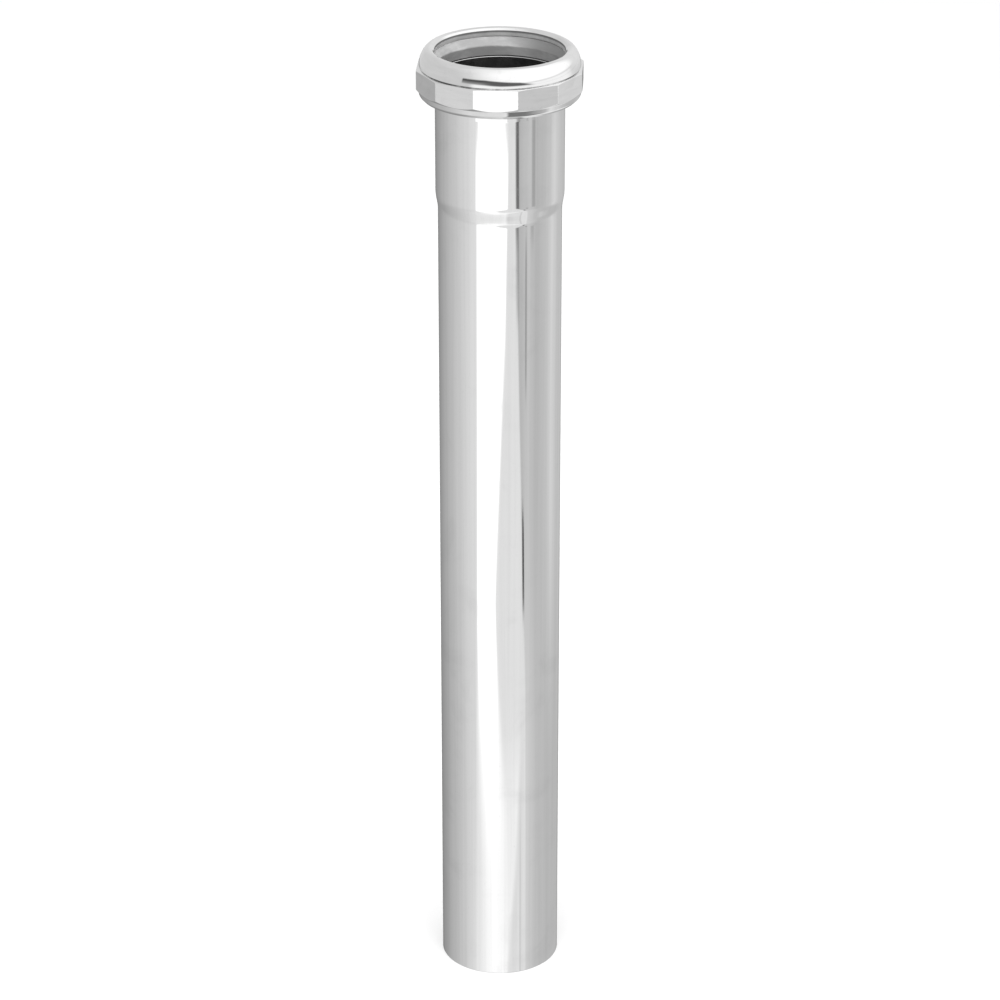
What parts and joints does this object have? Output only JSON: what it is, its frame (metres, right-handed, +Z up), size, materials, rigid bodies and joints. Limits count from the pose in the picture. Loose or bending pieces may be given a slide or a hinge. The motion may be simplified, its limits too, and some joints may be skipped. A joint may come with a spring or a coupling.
{
  "type": "basin waste tail pipe",
  "caption": "Straight chromed tail pipe for a basin waste, with a swaged socket, a seal ring and a slip nut at the top and a square-cut lower end.",
  "frame": {"origin": "centre of the square-cut lower end of the tube, on the surface that it stands on", "axes": "+Z up the pipe's axis, from the cut end to the socket and nut; -Y towards the viewer of the picture, +X to the right"},
  "size_m": [0.0426, 0.0426, 0.2621],
  "materials": {
    "tube_chrome": "polished",
    "seal_rubber": "satin",
    "nut_chrome": "polished"
  },
  "bodies": {
    "tube": {"tail_tube": "tube_chrome"},
    "seal": {"seal_ring": "seal_rubber"},
    "nut": {"slip_nut": "nut_chrome"}
  },
  "joints": [
    {"name": "seal_lift", "type": "slide", "parent": "tube", "child": "seal", "axis": [0, 0, 1], "range_m": [0, 0.007]},
    {"name": "nut_turn", "type": "hinge", "parent": "seal", "child": "nut", "pos_m": [0, 0, 0.2555], "axis": [0, 0, 1], "range_deg": [0, 1080]}
  ],
  "couplings": [
    {"joint": "seal_lift", "follows": "nut_turn", "m_per_rad": 0.00036748}
  ]
}
